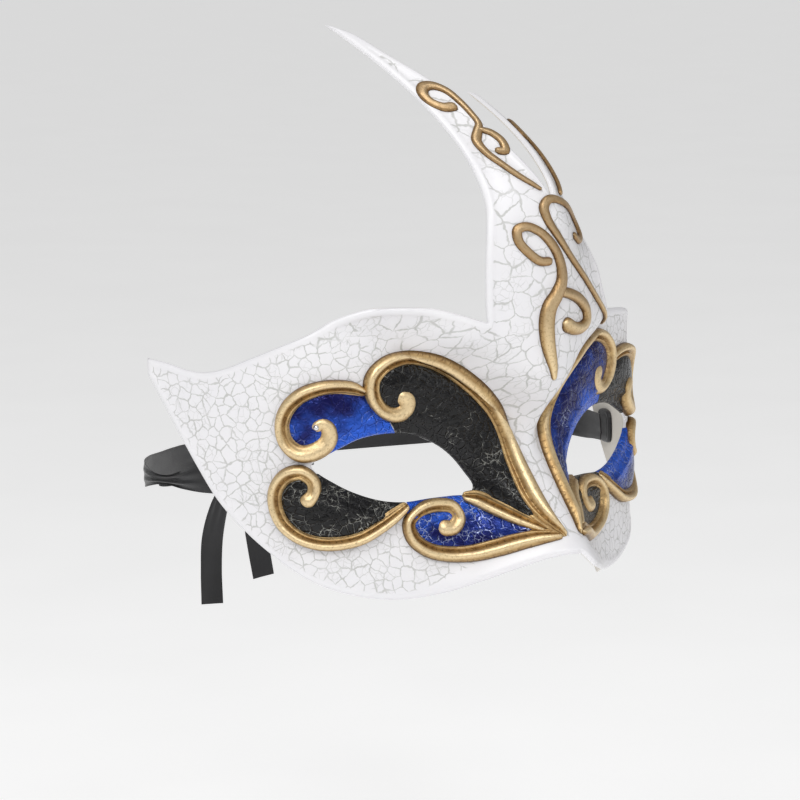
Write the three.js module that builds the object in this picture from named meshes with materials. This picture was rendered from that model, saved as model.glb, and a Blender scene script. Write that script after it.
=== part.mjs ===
// Venetian half mask with an asymmetric two-horned crest, raised gold scrolls, enamel fields and a
// ribbon tied behind the head.  Millimetres.  +X is the wearer's left, -Y is ahead of the face, +Z is up.
// The origin is on the median plane, level with the bridge of the nose.
//
// Everything on the mask is laid out on a pattern: "across" runs along the curved face from the
// median, positive towards the wearer's right, and "up" is the height above the origin.
import * as THREE from 'three';
import { mergeVertices } from 'three/addons/utils/BufferGeometryUtils.js';

// ---- driving dimensions -------------------------------------------------------------------------
const SHELL_THICKNESS = 1.6;
const GAP = 0.6; // clearance under an applied piece, for the facets of the curved face
const BRIDGE_DEPTH = 3.5; // bridge of the nose, behind the origin
const NOSE_LENGTH = 40;
const NOSE_RISE = 31; // how far the nose ridge stands ahead of the bridge
const NOSE_EASE = 0.14; // softens the start of the nose ridge
const CHEEK_TILT = 0.14; // forward lean of the cheeks, per mm below the eyes
const BROW_RISE = 17.5; // how far the brow stands ahead of the bridge
const CREST_FRONT = -14.5; // front of the crest at its root
const CREST_ROUND = 10; // radius of the crest's front edge in plan
const SCROLL_HEIGHT = 2.2;
const FIELD_THICKNESS = 0.5;
const RIBBON_THICKNESS = 0.8;
const SHELL_MESH = 4.2; // triangle size on the shell
const FIELD_MESH = 4;
const SCROLL_STEP = 2.4; // distance between sections along a scroll

// Plan curve of the face: how far it has turned back, in degrees, at each distance across.
const PLAN_TURN = [[0, 0], [10, 9], [32, 19], [48, 19], [64, 24], [80, 60], [140, 76]];

// ---- the face surface ---------------------------------------------------------------------------
const clamp = (value, low, high) => Math.min(Math.max(value, low), high);

function smooth(t) {
  const s = clamp(t, 0, 1);
  return s * s * (3 - 2 * s);
}

function turnAt(across) {
  let i = 1;
  while (i < PLAN_TURN.length - 1 && across > PLAN_TURN[i][0]) i += 1;
  const [a0, t0] = PLAN_TURN[i - 1];
  const [a1, t1] = PLAN_TURN[i];
  return THREE.MathUtils.degToRad(t0 + ((t1 - t0) * (across - a0)) / (a1 - a0));
}

const PLAN_STEP = 0.25;
const planCurve = [[0, 0]];
for (let across = PLAN_STEP; across <= 150; across += PLAN_STEP) {
  const [side, back] = planCurve[planCurve.length - 1];
  const turn = turnAt(across - PLAN_STEP / 2);
  planCurve.push([side + Math.cos(turn) * PLAN_STEP, back + Math.sin(turn) * PLAN_STEP]);
}

// Half width and depth of the plain plan curve at a distance across.
function plan(across) {
  const place = Math.min(Math.abs(across) / PLAN_STEP, planCurve.length - 1.001);
  const i = Math.floor(place);
  const f = place - i;
  const side = planCurve[i][0] * (1 - f) + planCurve[i + 1][0] * f;
  const back = planCurve[i][1] * (1 - f) + planCurve[i + 1][1] * f;
  return [side, back];
}

function surface(across, up) {
  const [side, back] = plan(across);
  let depth = BRIDGE_DEPTH + back;
  // nose ridge and cheeks, below the eyes
  const below = (2 - up) / NOSE_LENGTH;
  const down = Math.min((below + Math.hypot(below, NOSE_EASE)) / 2, 1.2);
  depth -= NOSE_RISE * down ** 1.15 * Math.exp(-((side / (9 + 10 * down)) ** 2));
  const cheek = (1 - Math.exp(-((side / 20) ** 2))) * smooth((95 - side) / 60);
  depth -= CHEEK_TILT * clamp(-up, 0, 60) * cheek;
  // brow, widening with height
  const rise = clamp(up, 0, 40);
  const browWidth = 6 + 0.45 * rise + 0.035 * rise * rise;
  depth -= BROW_RISE * smooth((up + 8) / 30) * clamp(1 - (side / browWidth) ** 2, 0, 1) ** 2;
  // crest: a prow that sharpens and leans back with height, most of all on the wearer's left
  const left = across < 0;
  const sharpness = 1.25 * (0.38 + (left ? 0.9 : 0.27) * smooth((up - 45) / 30));
  const round = Math.sqrt(side * side + CREST_ROUND * CREST_ROUND) - CREST_ROUND;
  let crest = CREST_FRONT + 0.04 * Math.max(up - 30, 0) + 0.011 * Math.max(up - 58, 0) ** 2;
  crest += sharpness * round;
  crest += 0.016 * Math.max(up - 64, 0) ** 2 * smooth((4 - across) / 8);
  const blend = smooth((up - 22) / 16) * smooth((40 + 3 * Math.max(up - 45, 0) - side) / 16);
  depth = depth * (1 - blend) + crest * blend;
  return new THREE.Vector3(-Math.sign(across) * side, depth, up);
}

// A point lifted off the face along its outward normal.
function lifted(across, up, lift) {
  const h = 0.5;
  const p = surface(across, up);
  const du = surface(across + h, up).sub(surface(across - h, up));
  const dv = surface(across, up + h).sub(surface(across, up - h));
  const normal = dv.cross(du).normalize();
  return p.addScaledVector(normal, lift);
}

// ---- pattern tools ------------------------------------------------------------------------------
const P = (across, up) => new THREE.Vector2(across, up);
const mirrored = (list) => list.map(([across, ...rest]) => [-across, ...rest]);

// Evenly spaced points along a smooth line through the given points.
function spaced(list, step, closed = false) {
  const line = new THREE.CatmullRomCurve3(
    list.map(([across, up]) => new THREE.Vector3(across, up, 0)), closed, 'centripetal');
  line.arcLengthDivisions = 400;
  const count = Math.max(2, Math.round(line.getLength() / step));
  const out = line.getSpacedPoints(count).map((p) => P(p.x, p.y));
  if (closed) out.pop();
  return out;
}

// An outline made of several smooth stretches that meet at corners.
function cornered(stretches, step) {
  const out = [];
  for (const stretch of stretches) {
    const piece = spaced(stretch, step);
    piece.pop();
    out.push(...piece);
  }
  return out;
}

function inside(p, loop) {
  let odd = false;
  for (let i = 0, j = loop.length - 1; i < loop.length; j = i, i += 1) {
    const a = loop[i];
    const b = loop[j];
    if ((a.y > p.y) !== (b.y > p.y)) {
      if (p.x < ((b.x - a.x) * (p.y - a.y)) / (b.y - a.y) + a.x) odd = !odd;
    }
  }
  return odd;
}

function nearest(p, loops) {
  let best = Infinity;
  for (const loop of loops) {
    for (let i = 0, j = loop.length - 1; i < loop.length; j = i, i += 1) {
      const edge = loop[i].clone().sub(loop[j]);
      const t = clamp(p.clone().sub(loop[j]).dot(edge) / edge.lengthSq(), 0, 1);
      best = Math.min(best, p.distanceTo(loop[j].clone().addScaledVector(edge, t)));
    }
  }
  return best;
}

// Delaunay triangles of a set of points, by adding them one at a time.
function delaunay(cloud) {
  const all = [...cloud, P(-4000, -3000), P(4000, -3000), P(0, 5000)];
  const n = cloud.length;
  const circle = (a, b, c) => {
    const [p, q, r] = [all[a], all[b], all[c]];
    const d = 2 * (p.x * (q.y - r.y) + q.x * (r.y - p.y) + r.x * (p.y - q.y));
    const pp = p.lengthSq();
    const qq = q.lengthSq();
    const rr = r.lengthSq();
    const x = (pp * (q.y - r.y) + qq * (r.y - p.y) + rr * (p.y - q.y)) / d;
    const y = (pp * (r.x - q.x) + qq * (p.x - r.x) + rr * (q.x - p.x)) / d;
    return { ids: [a, b, c], x, y, r2: (p.x - x) ** 2 + (p.y - y) ** 2 };
  };
  let triangles = [circle(n, n + 1, n + 2)];
  for (let i = 0; i < n; i += 1) {
    const { x, y } = all[i];
    const edges = new Map();
    const kept = [];
    for (const t of triangles) {
      if ((t.x - x) ** 2 + (t.y - y) ** 2 > t.r2) {
        kept.push(t);
        continue;
      }
      for (let k = 0; k < 3; k += 1) {
        const a = t.ids[k];
        const b = t.ids[(k + 1) % 3];
        const back = `${b},${a}`;
        if (edges.has(back)) edges.delete(back);
        else edges.set(`${a},${b}`, [a, b]);
      }
    }
    for (const [a, b] of edges.values()) kept.push(circle(a, b, i));
    triangles = kept;
  }
  return triangles.map((t) => t.ids).filter((ids) => Math.max(...ids) < n);
}

// A closed plate that covers a pattern outline, less its holes, between two lifts off the face.
function plate(outline, holes, size, low, high) {
  const loops = [outline, ...holes];
  const cloud = loops.flat();
  const box = new THREE.Box2().setFromPoints(outline);
  let row = 0;
  for (let y = box.min.y; y < box.max.y; y += size * 0.866) {
    for (let x = box.min.x + (row % 2) * size * 0.5; x < box.max.x; x += size) {
      // the tiny wobble keeps four points off one circle
      const p = P(x + 0.05 * Math.sin(7 * x + 3 * y), y + 0.05 * Math.cos(5 * x - 4 * y));
      const open = inside(p, outline) && !holes.some((hole) => inside(p, hole));
      if (open && nearest(p, loops) > size * 0.45) cloud.push(p);
    }
    row += 1;
  }
  const faces = delaunay(cloud).filter((ids) => {
    const centre = P(0, 0);
    for (const id of ids) centre.addScaledVector(cloud[id], 1 / 3);
    return inside(centre, outline) && !holes.some((hole) => inside(centre, hole));
  });
  const position = [];
  for (const lift of [high, low]) {
    for (const p of cloud) position.push(...lifted(p.x, p.y, lift).toArray());
  }
  const n = cloud.length;
  const index = [];
  const border = new Map();
  for (const [a, b, c] of faces) {
    const turn = cloud[b].clone().sub(cloud[a]).cross(cloud[c].clone().sub(cloud[a]));
    const [p, q, r] = turn > 0 ? [a, c, b] : [a, b, c];
    index.push(p, q, r, n + p, n + r, n + q);
    for (const [s, t] of [[p, q], [q, r], [r, p]]) {
      if (border.has(`${t},${s}`)) border.delete(`${t},${s}`);
      else border.set(`${s},${t}`, [s, t]);
    }
  }
  for (const [s, t] of border.values()) index.push(s, n + s, n + t, s, n + t, t);
  const geometry = new THREE.BufferGeometry();
  geometry.setAttribute('position', new THREE.Float32BufferAttribute(position, 3));
  geometry.setIndex(index);
  return geometry;
}

// A closed bar swept along stations, each a ring of points, with flat ends.
function loft(rings) {
  const sides = rings[0].length;
  const position = rings.flat().flatMap((p) => p.toArray());
  const index = [];
  for (let i = 0; i + 1 < rings.length; i += 1) {
    for (let k = 0; k < sides; k += 1) {
      const a = i * sides + k;
      const b = i * sides + ((k + 1) % sides);
      index.push(a, b, b + sides, a, b + sides, a + sides);
    }
  }
  const last = (rings.length - 1) * sides;
  for (let k = 1; k + 1 < sides; k += 1) {
    index.push(0, k + 1, k);
    index.push(last, last + k, last + k + 1);
  }
  const geometry = new THREE.BufferGeometry();
  geometry.setAttribute('position', new THREE.Float32BufferAttribute(position, 3));
  geometry.setIndex(index);
  return outward(geometry);
}

// Turns a closed mesh so that its faces point out.
function outward(geometry) {
  const p = geometry.attributes.position;
  const index = geometry.index.array;
  const [a, b, c] = [0, 1, 2].map(() => new THREE.Vector3());
  let volume = 0;
  for (let i = 0; i < index.length; i += 3) {
    a.fromBufferAttribute(p, index[i]);
    b.fromBufferAttribute(p, index[i + 1]);
    c.fromBufferAttribute(p, index[i + 2]);
    volume += a.dot(b.cross(c));
  }
  if (volume < 0) {
    for (let i = 0; i < index.length; i += 3) [index[i], index[i + 1]] = [index[i + 1], index[i]];
  }
  return geometry;
}

// A raised scroll: [across, up, width] stations along its middle, in pattern millimetres.
function scroll(stations, height = SCROLL_HEIGHT) {
  const line = new THREE.CatmullRomCurve3(
    stations.map(([across, up, width]) => new THREE.Vector3(across, up, width)), false, 'centripetal');
  line.arcLengthDivisions = 400;
  const count = Math.max(4, Math.round(line.getLength() / SCROLL_STEP));
  const section = [[-0.5, 0], [-0.42, 0.62], [0, 1], [0.42, 0.62], [0.5, 0]];
  const rings = [];
  for (let i = 0; i <= count; i += 1) {
    const p = line.getPointAt(i / count);
    const t = line.getTangentAt(i / count);
    const side = P(-t.y, t.x).normalize();
    const tall = height * clamp(p.z / 4.5, 0.45, 1);
    rings.push(section.map(([s, h]) =>
      lifted(p.x + side.x * s * p.z, p.y + side.y * s * p.z, GAP + h * tall)));
  }
  return loft(rings);
}

// ---- shell outline ------------------------------------------------------------------------------
const SHELL_OUTLINE = [
  // wearer's right brow, from the temple tip to the notch beside the horn
  [[124, 23], [117, 22], [110, 20.3], [104, 20], [98, 21.3], [90, 24.5], [81, 28.3], [72, 32], [64, 36],
    [56, 39.3], [49, 40.3], [40, 39.7], [31, 37.6], [24, 35.3]],
  // tall horn, outer edge
  [[24, 35.3], [24.3, 41], [23.9, 50], [22.2, 60], [20.2, 70], [20.6, 78], [22, 87], [25, 98], [28.6, 108],
    [32, 116], [34.6, 122]],
  // tall horn, inner edge
  [[34.6, 122], [30, 119.5], [25.5, 113.5], [20.5, 107.4], [16.8, 102.5], [14.6, 97], [12, 91.5], [8.6, 85.8],
    [4.8, 79], [0.4, 71.5]],
  // small horn, inner then outer edge, running on into the left brow
  [[0.4, 71.5], [-1.6, 77], [-3.6, 83], [-5.8, 90], [-8.2, 96], [-10.8, 101]],
  [[-10.8, 101], [-13.2, 95.5], [-15.4, 89], [-17.1, 82], [-18.6, 73], [-20.6, 63], [-23, 52], [-26, 43],
    [-31, 36], [-38, 32.6], [-47, 31.4], [-58, 31], [-70, 29.6], [-82, 26.4], [-92, 23], [-101, 20.8],
    [-110, 20.6], [-117, 22], [-124, 23]],
  [[-124, 23], [-123.6, 18]],
  // lower edge, left cheek to nose
  [[-123.6, 18], [-117.6, 8.6], [-112, -0.5], [-107, -8.5], [-100, -18.6], [-91, -27.6], [-81, -35.3],
    [-70, -42.6], [-58, -47], [-47, -48.8], [-36, -48.2], [-25, -45.6], [-15, -42], [-7, -39.2], [-2.4, -37.4]],
  [[-2.4, -37.4], [0.4, -33.8]],
  // nose to right cheek
  [[0.4, -33.8], [5, -34], [10, -35.4], [17, -38.7], [25, -42.5], [36, -46.3], [47, -47.4], [58, -46],
    [70, -42], [81, -35.3], [91, -27.6], [100, -18.6], [107, -8.5], [112, -0.5], [117.6, 8.6], [123.6, 18]],
  [[123.6, 18], [124, 23]],
];
const EYE_OPENING = [[70.4, -6.6], [66.5, -4], [61, -1.4], [55, 0.9], [48, 2], [41, 1.8], [35, 0.2], [29.5, -2.6],
  [25, -6.4], [21.7, -10.8], [19.6, -15], [21, -17.3], [27, -17.8], [34, -18.2], [42, -18.8], [49, -18],
  [56, -15.8], [63, -12.3]];

// ---- gold scrolls round each eye: [across, up, width] --------------------------------------------
const EYE_SCROLLS = {
  upper_inner: [[4.8, -26.4, 2.4], [6.4, -20, 5.8], [7, -10, 6.3], [8.1, 0, 6.2], [10.8, 5.6, 6], [15.2, 10.9, 5.8],
    [22, 16.6, 5.6], [28.6, 20.7, 5.4], [34.6, 23.2, 5], [41, 24, 4.8], [46.6, 22.4, 5.2], [50.4, 18.2, 5],
    [50.4, 12.8, 4.4], [47.4, 8.8, 4.2], [43.6, 7, 4], [40.2, 8.2, 4], [39.4, 11.2, 3.6], [41.4, 13.2, 3]],
  upper_outer: [[55, 14.9, 3.2], [58.6, 16, 4.6], [63, 16.6, 4.8], [68, 16.4, 4.8], [72.8, 14.6, 5], [76.6, 10.8, 5.2],
    [78.3, 5.5, 5.2], [77.2, 0.6, 4.8], [73.6, -2.4, 4.4], [69.2, -2.2, 4.2], [66, 0.6, 4], [66, 3.6, 3.6]],
  lower_outer: [[72.2, -17.4, 3], [70.6, -14.6, 3.8], [70.9, -11.3, 4], [73.4, -9.2, 4.2], [77.2, -9.8, 4.6],
    [80.2, -12.9, 4.8], [81, -17, 5], [79.5, -22, 5.2], [75.5, -26.4, 5], [70, -28.9, 4.8], [64, -29.4, 4.8],
    [57.5, -28.4, 4.8], [51, -25.7, 4.4], [46.2, -23, 2.8]],
  lower_inner: [[30.6, -27.2, 3], [28, -27.2, 3.4], [26.6, -25, 3.6], [27.6, -22.4, 3.6], [31, -20.7, 3.6],
    [35.4, -20.6, 3.6], [39, -22.2, 3.8], [40.8, -25.4, 4.2], [39.8, -29.2, 4.6], [36.3, -32.3, 4.8],
    [31, -34, 4.8], [25, -34.1, 4.8], [19.5, -32.8, 4.4], [14.4, -31, 3.6], [10, -29.6, 2.4]],
  leaf: [[21.4, -19.2, 2.6], [18, -19.8, 4], [13.6, -22.8, 3.6], [10.4, -25.2, 2]],
};

// ---- scrolls on the crest ------------------------------------------------------------------------
const CREST_SCROLLS = {
  horn_scroll_right: [[18.2, 98.4, 1.6], [20.8, 98.5, 2], [23, 100.1, 2.2], [23.7, 102.3, 2.2], [22.4, 103.9, 2.2],
    [20, 104, 2.2], [17.8, 102.4, 2.4], [16.4, 99.3, 2.4], [15.5, 95.5, 2.4], [15.2, 92.2, 2.4], [16.4, 89.2, 2.6],
    [15.6, 85.5, 2.6], [12.4, 81, 2.4], [8.9, 77.3, 2.2], [6.8, 75.4, 1.4]],
  horn_curl_right: [[12.9, 90.6, 1.2], [11.4, 89.2, 1.8], [10.4, 87, 1.9], [11, 85.2, 1.9], [12.8, 85.2, 1.6]],
  crest_scroll_right: [[5.2, 53.4, 2], [8, 54.2, 2.4], [11.5, 57, 2.4], [14.2, 60.5, 2.4], [13.6, 63.2, 2.4],
    [10.8, 63.3, 2.6], [7, 61.2, 2.6], [3.9, 57.6, 2.6], [1.7, 53.5, 2.6], [0.7, 49.5, 2.8], [1.3, 45.8, 3],
    [3.5, 42, 3.6], [5.8, 38.5, 4.2], [6.9, 34, 4.6], [6.5, 29, 4.4], [4.8, 23.5, 3.4], [2.4, 17.4, 1.4]],
  crest_curl_right: [[-1.4, 44.2, 1.6], [-4.6, 43, 2.6], [-8.6, 41.4, 3], [-12, 38.8, 3.2], [-13.6, 35.4, 3.2],
    [-12.2, 32.8, 3], [-8, 32, 3], [-4, 32.6, 3.4], [-1.4, 34.4, 3]],
  crook_scroll: [[-8.4, 59.4, 2], [-12, 57.6, 2.2], [-15.4, 58.4, 2.2], [-15.8, 61.4, 2], [-12.6, 64.8, 1.8],
    [-7.5, 67.8, 1.8], [-1.5, 70, 2], [2.4, 70.6, 2.2], [4.6, 68.6, 2.6], [4.1, 64.8, 2.6], [1, 59.8, 2.4],
    [-3.5, 54.5, 2.2], [-9.5, 49, 2.2], [-15.6, 43.6, 2], [-21.6, 38.6, 2], [-27.4, 34, 1.8], [-32.6, 30.6, 1.4]],
  horn_scroll_left: [[-9.8, 87.4, 1.4], [-8.8, 89, 1.8], [-9.4, 90.8, 1.8], [-11, 91.4, 1.8], [-12.2, 89.8, 1.8],
    [-12, 87, 2], [-11, 84.6, 2.2], [-9.4, 79.6, 2.2], [-7.2, 75.2, 2], [-4.6, 72.2, 1.4]],
};

// ---- enamel fields ------------------------------------------------------------------------------
const EYE_FIELDS = {
  upper_inner: [[45.8, 16], [45.6, 18.6], [41, 20.7], [35, 20], [30, 17.4], [24.2, 13.4], [18.4, 8.2], [14.1, 3.6],
    [12, -1.4], [11, -8], [10.5, -15], [10.1, -20.2], [13.6, -18.9], [16.6, -16.7], [18.4, -16], [20.8, -10.4],
    [24.4, -5.6], [29.2, -1.6], [34.8, 1.2], [41, 2.9], [45.4, 3.1], [44.6, 4.3], [41, 4.5], [37.9, 6],
    [36.5, 9.4], [36.9, 13], [39, 15.6], [42.4, 15.9]],
  upper_outer: [[47.4, 3.2], [52, 2.7], [57, 1.3], [61, -0.3], [63, -1.4], [63.1, 2.4], [64, 5.6], [66.6, 7.6],
    [70, 6.6], [71, 3.4], [70.2, 1.2], [73, 0.9], [74.8, 3], [75.2, 6], [73.4, 9.4], [70.6, 12],
    [66, 13.6], [61.8, 13.6], [57.4, 12.7], [54, 10.7], [52.4, 8.4], [49.8, 6], [47.2, 4.8]],
  lower_outer: [[67.8, -10.4], [67.6, -15.2], [69.6, -19], [72.4, -20.2], [75, -18.4], [75, -15.2], [73.6, -12.6],
    [75.4, -12.6], [77.2, -14.6], [77.6, -17.6], [75.4, -21.8], [71, -25.1], [66, -26.3], [60, -26.3],
    [55, -24.6], [49.6, -21.8], [46.2, -20], [49.4, -18.9], [54.4, -17.3], [59.4, -15.1], [63.8, -12.8]],
  lower_inner: [[24.6, -18.7], [24.6, -21], [23.6, -24.6], [25.2, -28.8], [28.5, -29.9], [31.9, -29.6],
    [33, -27.2], [31.6, -25.2], [32.4, -23.6], [35.4, -23.2], [37.6, -24.6], [38, -26.4], [36.4, -28.6],
    [33.4, -30.6], [30, -31], [25, -31], [20, -29.9], [15.8, -28.4], [13.2, -26.8], [15.4, -24.9],
    [19, -22.3], [22.6, -21], [23.4, -19]],
};

// ---- ribbons: [x, y, z, width] along the middle, wearer's right ------------------------------------
const RIBBON_SPAN = [[-74.4, 43, -12, 8.6], [-76.6, 48.4, -12.2, 9], [-78.6, 53.8, -12.6, 9.4], [-80, 60, -13.4, 8.4],
  [-80.2, 68, -14.8, 5.6], [-78.8, 76, -16, 3.2], [-76.6, 84, -17, 3.2], [-74, 92, -17.8, 5.2], [-69.4, 100.4, -18.4, 8],
  [-60.8, 109.4, -19.2, 9], [-49.5, 118, -20.2, 9], [-37, 126, -21, 9], [-24, 132, -21.8, 8.4],
  [-14, 135.6, -22.3, 7], [-7.2, 137.6, -22.6, 5]];
const BOW_LOOP = [[-7, 141, -22.7, 4.6], [-12, 143, -23.6, 7], [-19, 144.6, -24.6, 9], [-26, 144, -25.8, 9],
  [-31, 141.8, -26.8, 9], [-32.6, 138.8, -27.2, 9], [-29.6, 136.8, -27, 9], [-24, 137, -26, 9],
  [-17, 138.2, -25, 9], [-11, 138.9, -24, 7], [-7, 139, -23.3, 4.6]];
const RIBBON_TAILS = {
  right: [[-2.8, 138.4, -28.4, 4], [-4, 140, -34, 5], [-6.5, 141.5, -42, 7.6], [-9, 142, -52, 9], [-10.5, 141, -63, 9],
    [-11.5, 139.4, -74, 9]],
  left: [[2.8, 139.4, -28.4, 4], [4.4, 141.2, -34, 5], [7.5, 142.6, -42, 7.6], [10, 142.8, -51, 9], [11, 141.8, -60, 9],
    [11.6, 140.4, -68, 9]],
};
const KNOT_CENTRE = [0, 138.8, -22.9];
const KNOT_SIZE = [11.4, 8, 9.6];
const TAB_OUTLINE = [[89, -15.5], [90.5, -17], [98, -17], [99.5, -15.5], [99.5, -8.5], [98, -7], [90.5, -7], [89, -8.5]];
const TAB_THICKNESS = 1;

const WHITE = { color: 0xf2f0ee, roughness: 0.38, metalness: 0 };
const GOLD = { color: 0xb99a62, roughness: 0.4, metalness: 0.75 };
const BLACK = { color: 0x131318, roughness: 0.25, metalness: 0 };
const BLUE = { color: 0x1a2f8f, roughness: 0.25, metalness: 0.5 };
const SILVER = { color: 0xc9cdd2, roughness: 0.2, metalness: 0.9 };
const SATIN = { color: 0x0d0d10, roughness: 0.45, metalness: 0 };

const mask = new THREE.Group();

function add(name, geometry, look) {
  const clean = geometry.clone();
  clean.deleteAttribute('normal');
  clean.deleteAttribute('uv');
  const solid = mergeVertices(clean, 1e-5);
  solid.computeVertexNormals();
  const mesh = new THREE.Mesh(solid, new THREE.MeshStandardMaterial(look));
  mesh.name = name;
  mask.add(mesh);
  return mesh;
}

// ---- shell --------------------------------------------------------------------------------------
const eyeHole = (list) => spaced(list, 3.4, true);
const shellOutline = cornered(SHELL_OUTLINE, 3.4);
const eyeHoles = [eyeHole(EYE_OPENING), eyeHole(mirrored(EYE_OPENING))];
add('mask_shell', plate(shellOutline, eyeHoles, SHELL_MESH, -SHELL_THICKNESS, 0), WHITE);

// ---- ornament round the eyes --------------------------------------------------------------------
const SIDES = [
  { name: 'right', flip: (list) => list, blue: ['upper_outer', 'lower_inner'] },
  { name: 'left', flip: mirrored, blue: ['upper_inner', 'lower_outer'] },
];
for (const { name, flip, blue } of SIDES) {
  for (const [part, stations] of Object.entries(EYE_SCROLLS)) {
    add(`scroll_${part}_${name}`, scroll(flip(stations)), GOLD);
  }
  for (const [part, outline] of Object.entries(EYE_FIELDS)) {
    const edge = spaced(flip(outline), 2.2, true);
    const look = blue.includes(part) ? BLUE : BLACK;
    const field = plate(edge, [], FIELD_MESH, GAP, GAP + FIELD_THICKNESS);
    add(`enamel_${part}_${name}`, field, look);
  }
}
for (const [name, stations] of Object.entries(CREST_SCROLLS)) add(name, scroll(stations, 1.8), GOLD);

// ---- silver bead in the curl of the right brow --------------------------------------------------
const BEAD = { across: 68.8, up: 5.3, radius: 0.9, height: 2.4 };
const bead = new THREE.SphereGeometry(BEAD.radius, 12, 8);
bead.translate(...lifted(BEAD.across, BEAD.up, BEAD.height).toArray());
add('silver_bead', bead, SILVER);

// ---- ribbon tie ---------------------------------------------------------------------------------
// A flat ribbon along a route, its width laid along the given direction.
function strip(route, widthwise) {
  const line = new THREE.CatmullRomCurve3(
    route.map(([x, y, z]) => new THREE.Vector3(x, y, z)), false, 'centripetal');
  const widths = route.map((station) => station[3]);
  const count = (route.length - 1) * 2;
  const rings = [];
  for (let i = 0; i <= count; i += 1) {
    const t = i / count;
    const k = Math.min(Math.floor(t * (route.length - 1)), route.length - 2);
    const width = THREE.MathUtils.lerp(widths[k], widths[k + 1], t * (route.length - 1) - k);
    const along = line.getTangent(t);
    const thin = along.clone().cross(widthwise).normalize();
    const wide = thin.clone().cross(along).normalize();
    const corner = (s, h) => line.getPoint(t)
      .addScaledVector(wide, (s * width) / 2)
      .addScaledVector(thin, (h * RIBBON_THICKNESS) / 2);
    rings.push([corner(-1, -1), corner(1, -1), corner(1, 1), corner(-1, 1)]);
  }
  return loft(rings);
}

const UPRIGHT = new THREE.Vector3(0, 0, 1);
const SIDEWAYS = new THREE.Vector3(1, 0, 0);
const tabLift = -SHELL_THICKNESS - GAP;
for (const { name, flip } of SIDES) {
  const tab = plate(spaced(flip(TAB_OUTLINE), 2.6, true), [], FIELD_MESH, tabLift - TAB_THICKNESS, tabLift);
  add(`ribbon_tab_${name}`, tab, SATIN);
  const turned = name === 'right' ? (route) => route : mirrored;
  add(`ribbon_${name}`, strip(turned(RIBBON_SPAN), UPRIGHT), SATIN);
  add(`bow_loop_${name}`, strip(turned(BOW_LOOP), UPRIGHT), SATIN);
  add(`ribbon_tail_${name}`, strip(RIBBON_TAILS[name], SIDEWAYS), SATIN);
}
const knot = new THREE.SphereGeometry(0.5, 16, 10);
knot.scale(...KNOT_SIZE);
knot.translate(...KNOT_CENTRE);
add('ribbon_knot', knot, SATIN);

export default mask;
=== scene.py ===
# The looks of the venetian half mask: crackled white shell, gilt scrolls, enamel fields, silver bead
# and black satin ribbons tied in a bow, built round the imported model.
import math

import bmesh
import bpy
import numpy as np
from mathutils import Matrix, Vector
from mathutils.geometry import delaunay_2d_cdt


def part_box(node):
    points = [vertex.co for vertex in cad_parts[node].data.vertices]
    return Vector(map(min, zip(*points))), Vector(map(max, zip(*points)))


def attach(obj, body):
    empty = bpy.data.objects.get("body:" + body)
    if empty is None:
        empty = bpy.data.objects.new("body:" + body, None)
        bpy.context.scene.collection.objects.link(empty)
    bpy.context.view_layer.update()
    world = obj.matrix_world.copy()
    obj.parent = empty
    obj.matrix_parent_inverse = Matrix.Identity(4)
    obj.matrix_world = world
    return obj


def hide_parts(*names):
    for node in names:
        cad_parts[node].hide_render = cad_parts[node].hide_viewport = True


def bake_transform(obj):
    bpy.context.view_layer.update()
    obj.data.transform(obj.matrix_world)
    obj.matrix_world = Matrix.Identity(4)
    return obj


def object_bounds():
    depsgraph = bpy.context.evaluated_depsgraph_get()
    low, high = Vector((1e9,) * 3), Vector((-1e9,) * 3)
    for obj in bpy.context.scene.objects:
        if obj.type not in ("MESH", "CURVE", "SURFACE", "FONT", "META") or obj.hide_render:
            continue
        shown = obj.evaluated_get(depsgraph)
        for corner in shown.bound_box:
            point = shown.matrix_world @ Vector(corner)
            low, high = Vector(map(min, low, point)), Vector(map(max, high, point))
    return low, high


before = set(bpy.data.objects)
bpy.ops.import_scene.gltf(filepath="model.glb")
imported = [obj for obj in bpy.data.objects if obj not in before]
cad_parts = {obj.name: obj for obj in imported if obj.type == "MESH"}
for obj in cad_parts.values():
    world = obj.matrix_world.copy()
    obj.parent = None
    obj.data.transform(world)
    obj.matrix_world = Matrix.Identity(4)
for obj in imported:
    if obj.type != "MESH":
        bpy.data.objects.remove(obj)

cad_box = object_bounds()
scene = bpy.context.scene
MM = 0.001  # pattern and route lists are in millimetres, Blender's objects in metres

# ---- camera: from ahead of the wearer's right, a little above ----------------------------------
VIEW_AZIMUTH, VIEW_ELEVATION = math.radians(-42), math.radians(8.6)
VIEW_DISTANCE = 1.051
VIEW_AIM = Vector((-0.0281, 0.0272, 0.0090))
LENS_MM, SENSOR_MM = 156.15, 36


def place_camera():
    data = bpy.data.cameras.new("camera")
    data.lens, data.sensor_width = LENS_MM, SENSOR_MM
    camera = bpy.data.objects.new("camera", data)
    level = math.cos(VIEW_ELEVATION)
    back = Vector((math.sin(VIEW_AZIMUTH) * level, -math.cos(VIEW_AZIMUTH) * level,
                   math.sin(VIEW_ELEVATION)))
    right = Vector((math.cos(VIEW_AZIMUTH), math.sin(VIEW_AZIMUTH), 0))
    turn = Matrix((right, back.cross(right), back)).transposed()
    camera.matrix_world = Matrix.Translation(VIEW_AIM + back * VIEW_DISTANCE) @ turn.to_4x4()
    scene.collection.objects.link(camera)
    scene.camera = camera


place_camera()

# ---- lines --------------------------------------------------------------------------------------


def smooth(t):
    s = np.clip(t, 0, 1)
    return s * s * (3 - 2 * s)


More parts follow.
